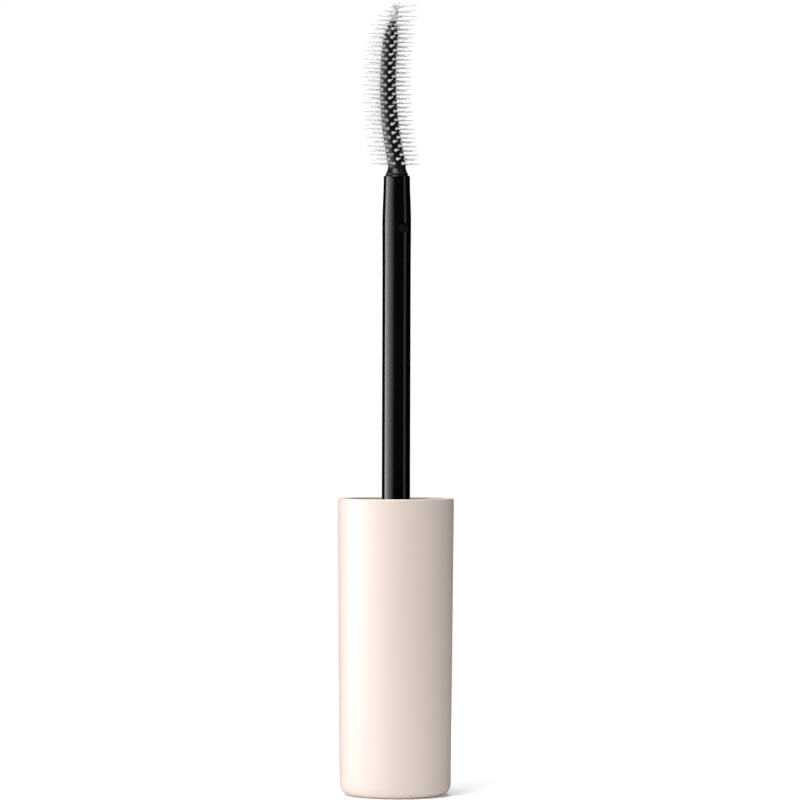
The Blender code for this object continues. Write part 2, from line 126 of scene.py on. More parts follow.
class CoreSizes(bpy.types.PropertyGroup):
    """The closure core inside the shell, with the neck's thread and the stem's boss."""
    fit_gap: length("Fit gap", "Between pressed pieces", 0.1 * MM)
    wall: length("Wall", "Of the threaded socket", 0.85 * MM)
    floor: length("Floor", "Under the socket", 1.6 * MM)
    socket_depth: length("Socket depth", "From the mouth to the floor", 13.5 * MM)
    boss_wall: length("Boss wall", "Round the stem's root", 1.5 * MM)
    boss_bore: length("Boss bore", "Radius of the bore that grips the stem", 2.175 * MM)
    bead_height: length("Bead height", "Of a snap bead", 0.2 * MM)
    bead_width: length("Bead width", "Of a snap bead", 1.2 * MM)
    bead_depth: length("Bead depth", "From the mouth to the core's snap bead", 4.0 * MM)
    gasket_width: length("Gasket width", "Of the ring on the socket's floor", 3.725 * MM)
    gasket_edge: length("Gasket edge", "Round at the ring's edges", 0.12 * MM)
    edge: length("Edge round", "Round at the mouth's edges", 0.25 * MM)
    lugs: count("Lugs", "Lugs that turn the core with the shell", 6)
    lug_width: length("Lug width", "Across a drive lug", 1.6 * MM)
    lug_length: length("Lug length", "Below the core's floor", 2.2 * MM)
    pitch: length("Thread pitch", "Rise of the thread in one turn", 2.4 * MM)
    turns: number("Thread turns", "How far the thread winds", 2.0)
    thread_depth: length("Thread depth", "From the wall to the crest", 0.65 * MM)
    thread_root: length("Thread root", "Width of the ridge at the wall", 1.3 * MM)
    thread_crest: length("Thread crest", "Width of the ridge at its top", 0.6 * MM)
    thread_start: length("Thread start", "From the mouth to the first ridge", 2.2 * MM)
    run_out: angle("Thread run-out", "Turn over which the ridge fades at each end", 40.0)


class StemSizes(bpy.types.PropertyGroup):
    """The gloss stem and its snap hole."""
    radius: length("Radius", "Of the straight stretch", 2.075 * MM)
    swell: length("Swell", "How much fuller the stem is where its tip starts", 0.03 * MM)
    mouth_taper: length("Mouth taper", "How much narrower the mouth is", 0.15 * MM)
    tip_length: length("Tip length", "From the fullest place to the mouth", 7.0 * MM)
    tip_wall: length("Tip wall", "Round the socket that holds the brush", 0.6 * MM)
    mouth_round: length("Mouth round", "Round at the mouth's outer edge", 0.15 * MM)
    socket_depth: length("Socket depth", "That takes the brush's shank", 9.4 * MM)
    socket_edge: length("Socket edge", "Round at the socket's mouth", 0.06 * MM)
    head_thickness: length("Head thickness", "Of the head behind the boss", 1.4 * MM)
    head_edge: length("Head edge", "Round at the head's end", 0.2 * MM)
    hole_radius: length("Snap hole radius", "Of the round hole in the side", 0.8 * MM)
    hole_depth: length("Snap hole depth", "From the mouth to the hole's centre", 7.75 * MM)
    hole_round: length("Snap hole round", "Round at the hole's edge", 0.07 * MM)
    hole_azimuth: angle("Snap hole azimuth", "Where the hole faces", 26.5)


class BrushSizes(bpy.types.PropertyGroup):
    """The hard core of the brush, its curve, and where its bristles stand."""
    foot_step: length("Foot step", "How much narrower the foot is than the stem's mouth", 0.27 * MM)
    foot_height: length("Foot height", "Of the collar that sits on the stem's mouth", 0.3 * MM)
    foot_gap: length("Foot gap", "Between the collar and the stem's mouth", 0.02 * MM)
    foot_edge: length("Foot edge", "Round at the collar's edges", 0.08 * MM)
    shank_gap: length("Shank gap", "Between the shank and the stem's socket", 0.1 * MM)
    shank_bevel: length("Shank bevel", "At the shank's end", 0.2 * MM)
    button_gap: length("Button gap", "Between the snap button and its hole", 0.15 * MM)
    button_depth: length("Button depth", "From the stem's side to the snap button's end", 0.25 * MM)
    skirt_height: length("Skirt height", "To the top of the cone above the foot", 1.2 * MM)
    core_radius: length("Core radius", "At the first row", 1.3 * MM)
    core_end_radius: length("Core end radius", "Before the tip rounds in", 1.05 * MM)
    tip_round: length("Tip round", "Stretch over which the core closes to its point", 3.4 * MM)
    tip_power: number("Tip power", "A higher one keeps the core full for longer", 1.6)
    point_rise: length("Point rise", "Of the core's point above the packed solid's top", 0.5 * MM)
    rows: count("Rows", "Rows of bristles", 37)
    row_pitch: length("Row pitch", "From one row to the next", 0.636 * MM)
    first_row: length("First row", "From the stem's mouth to the first row", 1.77 * MM)
    per_row: count("Bristles in a row", "Evenly spaced round the core", 6)
    phase: angle("Phase", "Azimuth of the first bristle", -19.4)
    reach: length("Reach", "From the core's centre to a bristle's tip", 3.735 * MM)
    reach_difference: length("Reach difference", "Longer outside the curve, shorter inside it",
                             0.215 * MM)
    rounding_length: length("Rounding length", "Over which the outer bristles shorten", 8.0 * MM)
    rounding_depth: length("Rounding depth", "How much the last outer bristles shorten", 3.2 * MM)
    bow_radius: length("Bow radius", "Of the brush's curve", 55.0 * MM)
    bow_apex: length("Bow apex", "From the first row to the curve's furthest place", 12.1 * MM)
    nub_rows: count("Nub rows", "Rows that stand on the soft nub past the core's point", 4)
    nub_radius: length("Nub radius", "Of the soft nub", 0.6 * MM)
    nub_height: length("Nub height", "From the last row to the nub's top", 0.35 * MM)
    nub_seat: length("Nub seat", "From the nub's base up to the core's point", 0.12 * MM)
    nub_girth: number("Nub girth", "Thickness of the nub's bristles, as a share of the others'", 0.8)
    nub_lift: number("Nub lift", "How much the last row leans up, as a share of its reach", 0.16)
    root_sink: length("Root sink", "How deep inside the core a bristle starts", 0.06 * MM)
    crown: count("Crown", "Short bristles on the nub's top", 5)
    crown_reach: length("Crown reach", "Length of the crown's bristles", 0.9 * MM)
    crown_girth: number("Crown girth", "Their thickness, as a share of the others'", 0.45)


class BristleSizes(bpy.types.PropertyGroup):
    """One soft bristle, and how the bristles differ."""
    root_radius: length("Root radius", "Where a bristle leaves the core", 0.28 * MM)
    sides: count("Sides", "Facets round a bristle", 6)
    rings: count("Rings", "Points along a bristle", 8)
    lean: number("Lean", "Largest sideways lean, as a share of the reach", 0.008)
    waviness: length("Waviness", "Largest sideways wander of a tip", 0.16 * MM)
    wave_length: length("Wave length", "Of the wander along a bristle", 1.6 * MM)
    seed: count("Seed", "Of the lean and the wander", 7)


class FinishColours(bpy.types.PropertyGroup):
    """Colours of the six mouldings."""
    blush: colour("Blush", "Cap shell", "#DDCEC6")
    blush_deep: colour("Deep blush", "Cap shell where the pigment streaks", "#D8C9C0")
    stem_black: colour("Stem black", "Gloss stem", "#060507")
    brush_black: colour("Brush black", "Core of the brush", "#0D0C0E")
    core_black: colour("Core black", "Closure core", "#181617")
    gasket_grey: colour("Gasket grey", "Neck gasket", "#A3A19E")
    bristle_clear: colour("Bristle", "Natural soft shot", "#F3F0EE")
    floor_white: colour("Floor", "Matt acrylic under the object", "#FBFBFB")


class StudioSizes(bpy.types.PropertyGroup):
    """Camera and soft lights."""
    distance: length("Camera distance", "From the object's axis", 635.0 * MM)
    view_width: length("View width", "What the camera sees across at the object's axis", 117.4 * MM)
    camera_height: length("Camera height", "The camera looks level from here", 57.9 * MM)
    camera_side: length("Camera side", "How far right of the axis the camera stands", 0.63 * MM)
    roll: angle("Camera roll", "Leans the picture slightly", 0.17)
    key: number("Key", "Radiance of the left softbox at its bright end", 4.9)
    key_colour: colour("Key colour", "Of the left softbox", "#F8FAFF")
    key_side: length("Key side", "From the axis to the left softbox", 0.25)
    key_far: angle("Key far end", "Seen from the axis, how far it reaches behind the side", 14.0)
    key_near: angle("Key near end", "Seen from the axis, where it ends beside the front", 18.0)
    key_fade: length("Key fade", "Stretch over which it dims e times towards the front", 0.1852)
    strip: number("Strip", "Radiance of the right reflector", 0.5)
    overhead: number("Overhead", "Radiance of the softbox above", 14.0)
    front: number("Front", "Radiance of the high softbox at the front left", 9.0)
    back: number("Back", "Radiance of the narrow card behind, which the rim mirrors", 1.0)
    floor_radius: length("Floor radius", "Of the round floor", 0.25)
    floor_glow: number("Floor glow", "Radiance that the floor passes on from below", 0.18)


# ---------------------------------------------------------------- tools

def arc(center_r, center_z, radius, start, end, steps):
    """Points (r, z) along an arc, from one angle to another in degrees."""
    points = []
    for step in range(steps + 1):
        turn = math.radians(start + (end - start) * step / steps)
        points.append((center_r + radius * math.cos(turn), center_z + radius * math.sin(turn)))
    return points


def corner(r, z, radius, quadrant, steps):
    """A rounded corner at (r, z). The quadrants run from 0, outer and upper, to 3, outer and lower,
    anticlockwise, and the points do too."""
    across = -radius if quadrant in (0, 3) else radius
    down = -radius if quadrant in (0, 1) else radius
    return arc(r + across, z + down, radius, 90 * quadrant, 90 * quadrant + 90, steps)


def bead(radius, height, width, depth, steps=8):
    """A rounded snap bead on a shaft, or its groove in a bore, as rising profile points."""
    points = []
    for step in range(steps + 1):
        share = step / steps
        points.append((radius + depth * math.sin(math.pi * share) ** 2,
                       height + width * (share - 0.5)))
    return points


def turned(profile, segments, closed=False):
    """Spins a profile of (r, z) points round Z. It is closed, or runs from the axis to the axis."""
    bm = bmesh.new()
    verts = [bm.verts.new((r, 0.0, z)) for r, z in profile]
    ends = zip(verts, verts[1:] + verts[:1]) if closed else zip(verts, verts[1:])
    edges = [bm.edges.new(pair) for pair in ends]
    bmesh.ops.spin(bm, geom=verts + edges, cent=(0, 0, 0), axis=(0, 0, 1),
                   angle=math.tau, steps=segments, use_duplicate=False)
    bmesh.ops.remove_doubles(bm, verts=bm.verts, dist=1e-7)
    bmesh.ops.recalc_face_normals(bm, faces=bm.faces)
    return bm


def skin(bm, levels):
    """Joins each ring of points to the next with faces. A ring of one point, repeated, closes the
    skin there."""
    for low, high in zip(levels, levels[1:]):
        for at in range(len(low)):
            after = (at + 1) % len(low)
            corners = dict.fromkeys((low[at], low[after], high[after], high[at]))
            bm.faces.new(list(corners))


def level_way(azimuth):
    """The level direction at this azimuth."""
    return Vector((math.sin(azimuth), -math.cos(azimuth), 0.0))


def raised(height):
    return Vector((0.0, 0.0, height))


def link(name, data):
    """Puts data into the scene as an object of this name."""
    obj = bpy.data.objects.new(name, data)
    bpy.context.scene.collection.objects.link(obj)
    return obj


def smooth(mesh, sharp_from=HARD_EDGE):
    mesh.shade_smooth()
    mesh.set_sharp_from_angle(angle=sharp_from)


def add_object(name, bm, material=None):
    mesh = bpy.data.meshes.new(name)
    bm.to_mesh(mesh)
    bm.free()
    if material:
        mesh.materials.append(material)
    smooth(mesh)
    return link(name, mesh)


def unite(obj, others):
    """Joins solids into one closed surface, and leaves a plain mesh with no modifier."""
    for other in others:
        modifier = obj.modifiers.new(other.name, "BOOLEAN")
        modifier.operation = "UNION"
        modifier.solver = "EXACT"
        modifier.object = other
    settle(obj)
    for other in others:
        bpy.data.objects.remove(other)
    smooth(obj.data)


def settle(obj):
    """Turns what the modifiers show into the object's own mesh."""
    evaluated = obj.evaluated_get(bpy.context.evaluated_depsgraph_get())
    mesh = bpy.data.meshes.new_from_object(evaluated)
    obj.modifiers.clear()
    obj.data = mesh


def stands_for(obj, node):
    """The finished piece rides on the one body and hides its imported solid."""
    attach(obj, "root")
    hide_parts(node)


# ---------------------------------------------------------------- materials

def add_node(tree, kind, settings=None, links=None):
    """Adds a node. Settings are its properties, or values of its inputs by name or number. Links
    join its inputs to other nodes' outputs."""
    node = tree.nodes.new(kind)
    for key, value in (settings or {}).items():
        if isinstance(key, str) and hasattr(node, key):
            setattr(node, key, value)
        else:
            node.inputs[key].default_value = value
    for key, output in (links or {}).items():
        tree.links.new(output, node.inputs[key])
    return node


def times(tree, value, factor):
    return add_node(tree, "ShaderNodeMath", {"operation": "MULTIPLY"},
                    {0: value, 1: factor}).outputs["Value"]


def vector_times(tree, vector, factor):
    return add_node(tree, "ShaderNodeVectorMath", {"operation": "SCALE"},
                    {0: vector, "Scale": factor}).outputs["Vector"]


def per_size(size):
    """The scale that gives a noise grains of this size, in metres."""
    return 1.0 / size


def start_material(name, values):
    """A Principled material and the coordinates its patterns read."""
    material = bpy.data.materials.new(name)
    material.use_nodes = True
    tree = material.node_tree
    tree.nodes.clear()
    shader = add_node(tree, "ShaderNodeBsdfPrincipled", values)
    add_node(tree, "ShaderNodeOutputMaterial", links={"Surface": shader.outputs["BSDF"]})
    place = add_node(tree, "ShaderNodeTexCoord").outputs["Object"]
    return material, tree, shader, place


def grain(tree, place, size, detail=2.0, stretch=1.0):
    """Noise with grains of a real size, drawn out along Z by stretch."""
    mapped = add_node(tree, "ShaderNodeMapping", {"Scale": (1.0, 1.0, 1.0 / stretch)},
                      {"Vector": place})
    noise = add_node(tree, "ShaderNodeTexNoise", {"Scale": per_size(size), "Detail": detail},
                     {"Vector": mapped.outputs["Vector"]})
    return noise.outputs["Fac"]


def vary_roughness(tree, shader, pattern, low, high):
    spread = add_node(tree, "ShaderNodeMapRange",
                      {"From Min": 0.3, "From Max": 0.7, "To Min": low, "To Max": high},
                      {"Value": pattern})
    tree.links.new(spread.outputs["Result"], shader.inputs["Roughness"])


def raise_surface(tree, shader, pattern, height):
    """Lets a pattern stand this high, in metres."""
    bump = add_node(tree, "ShaderNodeBump", {"Strength": 1.0, "Distance": height},
                    {"Height": pattern})
    tree.links.new(bump.outputs["Normal"], shader.inputs["Normal"])


def shade(tree, shader, pattern, base, factor):
    """Lets a pattern make a colour this much lighter or darker."""
    tint(tree, shader, pattern, base, [factor * channel for channel in base])


def tint(tree, shader, pattern, first, second):
    mixed = add_node(tree, "ShaderNodeMix",
                     {"data_type": "RGBA", 6: (*first, 1.0), 7: (*second, 1.0)}, {0: pattern})
    tree.links.new(mixed.outputs[2], shader.inputs["Base Color"])


def gloss_moulded_abs(colours):
    """Injection-moulded ABS from a polished tool: clean soft-edged reflections, a faint orange
    peel over millimetres, and pigment that streaks slightly along the flow."""
    material, tree, shader, place = start_material("gloss moulded ABS", {
        "IOR": 1.5, "Coat Weight": 0.3, "Coat Roughness": 0.15, "Subsurface Weight": 0.15,
        "Subsurface Scale": 0.6 * MM, "Subsurface Radius": (1.0, 0.75, 0.65)})
    tint(tree, shader, grain(tree, place, 5.0 * MM, detail=3.0, stretch=4.0), colours.blush,
         colours.blush_deep)
    vary_roughness(tree, shader, grain(tree, place, 0.5 * MM), 0.4, 0.5)
    raise_surface(tree, shader, grain(tree, place, 2.2 * MM, detail=1.0), 0.0015 * MM)
    return material


def gloss_moulded_acetal(colours):
    """Injection-moulded black acetal from a polished tool: near-mirror black with faint flow
    lines along its length."""
    material, tree, shader, place = start_material("gloss moulded acetal", {"IOR": 1.58})
    shade(tree, shader, grain(tree, place, 1.0 * MM), colours.stem_black, 1.6)
    vary_roughness(tree, shader, grain(tree, place, 0.3 * MM, stretch=12.0), 0.10, 0.16)
    raise_surface(tree, shader, grain(tree, place, 1.2 * MM, detail=1.0, stretch=5.0), 0.0008 * MM)
    return material


def satin_moulded_polyester(colours):
    """Injection-moulded black polyester of the brush's core: satin, finely grained by the tool's
    erosion. The grain is drawn at a tenth of a millimetre, coarser than real, so that it shows."""
    material, tree, shader, place = start_material("satin moulded polyester", {"IOR": 1.52})
    shade(tree, shader, grain(tree, place, 0.6 * MM), colours.brush_black, 1.8)
    vary_roughness(tree, shader, grain(tree, place, 0.2 * MM), 0.26, 0.4)
    raise_surface(tree, shader, grain(tree, place, 0.1 * MM), 0.003 * MM)
    return material


def tool_grained_polypropylene(colours):
    """Black polypropylene of the closure core, plain from a spark-eroded tool: dull with an even
    fine grain."""
    material, tree, shader, place = start_material("tool-grained polypropylene", {"IOR": 1.49})
    shade(tree, shader, grain(tree, place, 1.5 * MM), colours.core_black, 1.7)
    vary_roughness(tree, shader, grain(tree, place, 0.25 * MM), 0.38, 0.52)
    raise_surface(tree, shader, grain(tree, place, 0.14 * MM), 0.008 * MM)
    return material


def foamed_gasket_elastomer(colours):
    """Die-cut foamed elastomer: matt, with tiny closed cells and a skin that scatters light."""
    material, tree, shader, place = start_material("foamed gasket elastomer", {
        "IOR": 1.45, "Subsurface Weight": 0.1, "Subsurface Scale": 0.3 * MM})
    shade(tree, shader, grain(tree, place, 0.35 * MM), colours.gasket_grey, 0.85)
    cells = add_node(tree, "ShaderNodeTexVoronoi", {"Scale": per_size(0.18 * MM)},
                     {"Vector": place})
    vary_roughness(tree, shader, cells.outputs["Distance"], 0.55, 0.75)
    raise_surface(tree, shader, cells.outputs["Distance"], 0.02 * MM)
    return material


def natural_soft_elastomer(colours):
    """Unpigmented polyester elastomer of the bristles: milky and translucent, it lets white
    through, dims where light is bent away, and its moulded skin is smooth."""
    material, tree, shader, place = start_material("natural soft elastomer", {
        "IOR": 1.5, "Transmission Weight": 0.4, "Subsurface Weight": 0.3,
        "Subsurface Scale": 0.25 * MM, "Subsurface Radius": (1.0, 0.95, 0.9)})
    shade(tree, shader, grain(tree, place, 0.8 * MM), colours.bristle_clear, 0.96)
    vary_roughness(tree, shader, grain(tree, place, 0.3 * MM), 0.22, 0.34)
    return material


# ---------------------------------------------------------------- cap shell

def make_cap_shell(cap, core, colours):
    """A drafted cup: filleted closed end, fine rim, groove and ledge for the closure core."""
    end_radius = cap.rim_radius - (cap.height - cap.end_fillet) * math.tan(cap.draft)
    bore = cap.rim_radius - cap.wall
    ledge_bore = bore - cap.ledge
    core_floor = CORE_HIGH.z - core.socket_depth - core.floor
    ledge_height = core_floor - core.fit_gap
    outside = [(0.0, 0.0)]
    outside += corner(end_radius, 0.0, cap.end_fillet, 3, 14)
    outside += corner(cap.rim_radius, cap.height, cap.rim_fillet, 0, 6)
    inside = corner(bore, cap.height, cap.rim_break, 1, 4)
    inside += reversed(bead(bore, CORE_HIGH.z - core.bead_depth, core.bead_width,
                            core.bead_height))
    inside += [(bore, ledge_height), (ledge_bore, ledge_height)]
    inside += reversed(corner(ledge_bore, cap.floor, cap.floor_fillet, 3, 6))
    inside += [(0.0, cap.floor)]
    shell = add_object("cap_shell", turned(outside + inside, SHELL_COLUMNS),
                       gloss_moulded_abs(colours))
    stands_for(shell, "outer_cap")


# ---------------------------------------------------------------- closure core

def thread_ridge(core, socket_radius):
    """The neck thread: a right-handed helical ridge that fades in and out at its ends."""
    steps = round(THREAD_COLUMNS * core.turns)
    bottom = CORE_HIGH.z - core.thread_start - core.thread_root / 2 - core.turns * core.pitch
    buried = 0.3 * MM           # how deep the ridge's root lies in the wall
    faded = 0.05 * MM           # how deep its crest lies there at its ends
    flank = 0.7                 # half the root's width, widened to where it lies in the wall
    twist = 0.01                # keeps the ridge's edges off the socket's own
    bm = bmesh.new()
    sections = []
    for step in range(steps + 1):
        turn = math.tau * core.turns * step / steps
        left = math.tau * core.turns - turn
        fade = math.sin(math.pi / 2 * min(1.0, turn / core.run_out, left / core.run_out))
        crest = socket_radius + faded - (core.thread_depth + faded) * fade
        middle = bottom + core.pitch * core.turns * step / steps
        outline = [(socket_radius + buried, -core.thread_root * flank),
                   (crest, -core.thread_crest / 2), (crest, core.thread_crest / 2),
                   (socket_radius + buried, core.thread_root * flank)]
        turn += twist
        sections.append([bm.verts.new((r * math.cos(turn), r * math.sin(turn), middle + z))
                         for r, z in outline])
    skin(bm, sections)
    bm.faces.new(sections[0])
    bm.faces.new(sections[-1])
    bmesh.ops.recalc_face_normals(bm, faces=bm.faces)
    return bm


def drive_lugs(core, inner, outer, bottom, top):
    bm = bmesh.new()
    size = Matrix.Diagonal((outer - inner, core.lug_width, top - bottom, 1.0))
    place = Matrix.Translation(((inner + outer) / 2, 0.0, (bottom + top) / 2))
    for index in range(core.lugs):
        turn = Matrix.Rotation(math.tau * index / core.lugs, 4, "Z")
        bmesh.ops.create_cube(bm, size=1.0, matrix=turn @ place @ size)
    return bm


def make_closure_core(cap, core, colours):
    """A threaded socket, its floor, and the boss that grips the stem."""
    radius = cap.rim_radius - cap.wall - core.fit_gap
    socket_radius = radius - core.wall
    top = CORE_HIGH.z
    socket_floor = top - core.socket_depth
    floor_bottom = socket_floor - core.floor
    boss_radius = core.boss_bore + core.boss_wall
    boss_bead = (CORE_LOW.z + floor_bottom) / 2
    profile = [(core.boss_bore, CORE_LOW.z), (boss_radius, CORE_LOW.z),
               (boss_radius, floor_bottom), (radius, floor_bottom)]
    profile += bead(radius, top - core.bead_depth, core.bead_width, core.bead_height)
    profile += corner(radius, top, core.edge / 2, 0, 4)
    profile += corner(socket_radius, top, core.edge, 1, 5)
    profile += [(socket_radius, socket_floor), (core.boss_bore, socket_floor)]
    profile += reversed(bead(core.boss_bore, boss_bead, core.bead_width, core.bead_height))
    body = add_object("closure_core", turned(profile, CORE_COLUMNS, closed=True),
                      tool_grained_polypropylene(colours))
    lug_outer = radius - 2 * core.fit_gap
    lug_inner = radius + 2 * core.fit_gap - cap.ledge
    lugs = drive_lugs(core, lug_inner, lug_outer, floor_bottom - core.lug_length,
                      floor_bottom + core.floor / 2)
    unite(body, [add_object("neck_thread", thread_ridge(core, socket_radius)),
                 add_object("drive_lugs", lugs)])
    stands_for(body, "inner_cap")


# ---------------------------------------------------------------- neck gasket

def make_neck_gasket(core, colours):
    """A soft ring with rounded edges on the socket's floor."""
    outer = GASKET_HIGH.x
    inner = outer - core.gasket_width
    profile = []
    for r, z, quadrant in ((inner, GASKET_LOW.z, 2), (outer, GASKET_LOW.z, 3),
                           (outer, GASKET_HIGH.z, 0), (inner, GASKET_HIGH.z, 1)):
        profile += corner(r, z, core.gasket_edge, quadrant, 4)
    gasket = add_object("gasket_ring", turned(profile, GASKET_COLUMNS, closed=True),
                        foamed_gasket_elastomer(colours))
    stands_for(gasket, "neck_gasket")


# ---------------------------------------------------------------- stem

def stem_profile(core, stem):
    """The stem's outside from its head to its mouth, then its socket. Gives the points, and the
    numbers of the rows round the hole: outside first, then in the socket."""
    mouth = STEM_HIGH.z
    tip_start = mouth - stem.tip_length
    head_top = STEM_LOW.z + stem.head_thickness
    hole_low = mouth - stem.hole_depth - 1.5 * stem.hole_radius
    hole_rise = 3 * stem.hole_radius / HOLE_ROWS
    hole_heights = [hole_low + hole_rise * row for row in range(HOLE_ROWS + 1)]
    mouth_radius = stem.radius - stem.mouth_taper
    socket_radius = mouth_radius - stem.tip_wall

    def outside_radius(height):
        """Straight, then fuller where the tip starts, then tapering to the mouth."""
        if height < tip_start:
            share = max(0.0, 1 - (tip_start - height) / stem.tip_length)
            return stem.radius + stem.swell * (1 - math.cos(math.pi * share)) / 2
        share = (height - tip_start) / stem.tip_length
        fall = (stem.swell + stem.mouth_taper) * (1 - math.cos(math.pi * share)) / 2
        return stem.radius + stem.swell - fall

    points = [(0.0, STEM_LOW.z)]
    points += corner(STEM_HIGH.x, STEM_LOW.z, stem.head_edge, 3, 4)
    points += [(STEM_HIGH.x, head_top), (stem.radius, head_top)]
    floor_bottom = CORE_HIGH.z - core.socket_depth - core.floor
    points += bead(stem.radius, (head_top + floor_bottom) / 2, core.bead_width, core.bead_height)
    below = tip_start - stem.tip_length
    lead_steps, after_steps = 8, 12         # below the hole's rows, and above them
    lead = [below + (hole_low - below) * step / lead_steps for step in range(lead_steps)]
    start = len(points) + len(lead)
    left = mouth - stem.mouth_round - hole_heights[-1]
    after = [hole_heights[-1] + left * step / after_steps for step in range(1, after_steps)]
    points += [(outside_radius(height), height) for height in lead + hole_heights + after]
    points += corner(mouth_radius, mouth, stem.mouth_round, 0, 5)
    points += corner(socket_radius, mouth, stem.socket_edge, 1, 3)
    socket_start = len(points)
    points += [(socket_radius, height) for height in reversed(hole_heights)]
    points += [(socket_radius, mouth - stem.socket_depth), (0.0, mouth - stem.socket_depth)]
    return points, start, socket_start


def open_window(bm, grid, first_row):
    """Takes a window of faces out of the turned surface and gives its edge, in order."""
    low, high = first_row, first_row + HOLE_ROWS
    left, right = -HOLE_COLUMNS // 2, HOLE_COLUMNS // 2
    inside = [grid[row][column] for row in range(low + 1, high)
              for column in range(left + 1, right)]
    bmesh.ops.delete(bm, geom=inside, context="VERTS")
    return ([grid[low][column] for column in range(left, right)]
            + [grid[row][right] for row in range(low, high)]
            + [grid[high][column] for column in range(right, left, -1)]
            + [grid[row][left] for row in range(high, low, -1)])


def make_stem(core, stem, colours):
    """The gloss stem, turned, with a true round snap hole let into its side."""
    profile, outside_row, socket_row = stem_profile(core, stem)
    outward = level_way(stem.hole_azimuth)
    sideways = raised(1.0).cross(outward)
    middle = raised(STEM_HIGH.z - stem.hole_depth)
    bm = bmesh.new()
    grid = []
    for radius, height in profile:
        if radius == 0.0:
            grid.append([bm.verts.new((0.0, 0.0, height))] * STEM_COLUMNS)
            continue
        ring = []
        for column in range(STEM_COLUMNS):
            turn = math.tau * column / STEM_COLUMNS
            around = outward * math.cos(turn) + sideways * math.sin(turn)
            ring.append(bm.verts.new(around * radius + raised(height)))
        grid.append(ring)
    skin(bm, grid)
    outer_edge = open_window(bm, grid, outside_row)
    inner_edge = open_window(bm, grid, socket_row)
    inner_edge = inner_edge[:1] + inner_edge[:0:-1]
    skin(bm, hole_loops(bm, stem, outer_edge, inner_edge, middle, outward, sideways))
    bmesh.ops.recalc_face_normals(bm, faces=bm.faces)
    piece = add_object("gloss_stem", bm, gloss_moulded_acetal(colours))
    stands_for(piece, "rod")


def hole_loops(bm, stem, outer_edge, inner_edge, middle, outward, sideways):
    """Loops of points from the outside window, over the hole's rounded edge, down its wall and out
    to the socket's window. Each point is placed across the hole's axis, then along it."""
    def across(vert):
        offset = vert.co - middle
        return offset.dot(sideways), offset.z

    def on_cylinder(radius, side, rise, sunk=0.0):
        along = math.sqrt(radius ** 2 - side ** 2) - sunk
        return bm.verts.new(middle + outward * along + sideways * side + raised(rise))

    def between(start, turn, radius, share):
        """A place on the way from a window's edge to a circle of this radius."""
        side, rise = start
        return (side + (radius * math.cos(turn) - side) * share,
                rise + (radius * math.sin(turn) - rise) * share)

    outside_radius = stem.radius + stem.swell
    socket_radius = stem.radius - stem.mouth_taper - stem.tip_wall
    rim = stem.hole_radius + stem.hole_round
    starts = [across(vert) for vert in outer_edge]
    angles = [math.atan2(rise, side) for side, rise in starts]
    loops = [outer_edge]
    for share in (0.3, 0.55, 0.75, 0.9, 1.0):       # closer together near the hole
        radius = outer_edge[0].co.xy.length * (1 - share) + outside_radius * share
        loops.append([on_cylinder(radius, *between(start, turn, rim, share))
                      for start, turn in zip(starts, angles)])
    edge_steps = 4
    for step in range(1, edge_steps + 1):
        turned_by = math.pi / 2 * step / edge_steps
        reach = rim - stem.hole_round * math.sin(turned_by)
        sunk = stem.hole_round * (1 - math.cos(turned_by))
        loops.append([on_cylinder(outside_radius, reach * math.cos(turn), reach * math.sin(turn),
                                  sunk) for turn in angles])
    inner_starts = [across(vert) for vert in inner_edge]
    for share in (1.0, 0.5):
        loops.append([on_cylinder(socket_radius, *between(start, turn, stem.hole_radius, share))
                      for start, turn in zip(inner_starts, angles)])
    loops.append(inner_edge)
    return loops


# ---------------------------------------------------------------- brush

def first_row_height(brush):
    return STEM_HIGH.z + brush.first_row


def row_height(brush, row):
    return first_row_height(brush) + row * brush.row_pitch


def bow(brush, height):
    """How far the brush's centreline lies from the Z axis, along X."""
    start = first_row_height(brush)
    above = max(height, start) - start - brush.bow_apex
    return (above ** 2 - brush.bow_apex ** 2) / (2 * brush.bow_radius)


def core_point(brush):
    """The height of the hard core's point, inside the soft nub."""
    return BRUSH_HIGH.z + brush.point_rise


def core_radius(brush, height):
    """Of the hard core: a slow taper that closes like an egg's end."""
    start = first_row_height(brush)
    point = core_point(brush)
    along = (height - start) / (point - start)
    radius = brush.core_radius + (brush.core_end_radius - brush.core_radius) * along
    closing = max(0.0, 1 - (point - height) / brush.tip_round)
    return radius * math.sqrt(max(0.0, 1 - closing ** brush.tip_power))


def bowed(brush, rings, columns):
    """A skin over level rings (radius, height) that follow the brush's curve, closed at each end
    in a point."""
    bm = bmesh.new()
    levels = []
    for radius, height in rings:
        center = bow(brush, height)
        if radius == 0.0:
            levels.append([bm.verts.new((center, 0.0, height))] * columns)
            continue
        turns = [math.tau * column / columns for column in range(columns)]
        levels.append([bm.verts.new((center + radius * math.cos(turn), radius * math.sin(turn),
                                     height)) for turn in turns])
    skin(bm, levels)
    bmesh.ops.recalc_face_normals(bm, faces=bm.faces)
    return bm


def snap_button(stem, brush, shank_radius):
    """The round button on the shank that shows in the stem's snap hole."""
    bm = bmesh.new()
    end = stem.radius - brush.button_depth
    start = shank_radius / 2
    radius = stem.hole_radius - brush.button_gap
    bmesh.ops.create_cone(bm, cap_ends=True, segments=40, radius1=radius, radius2=radius,
                          depth=end - start)
    outward = level_way(stem.hole_azimuth)
    turn = outward.to_track_quat("Z", "Y").to_matrix().to_4x4()
    middle = raised(STEM_HIGH.z - stem.hole_depth)
    place = Matrix.Translation(outward * (start + end) / 2 + middle)
    bmesh.ops.transform(bm, matrix=place @ turn, verts=bm.verts)
    return bm


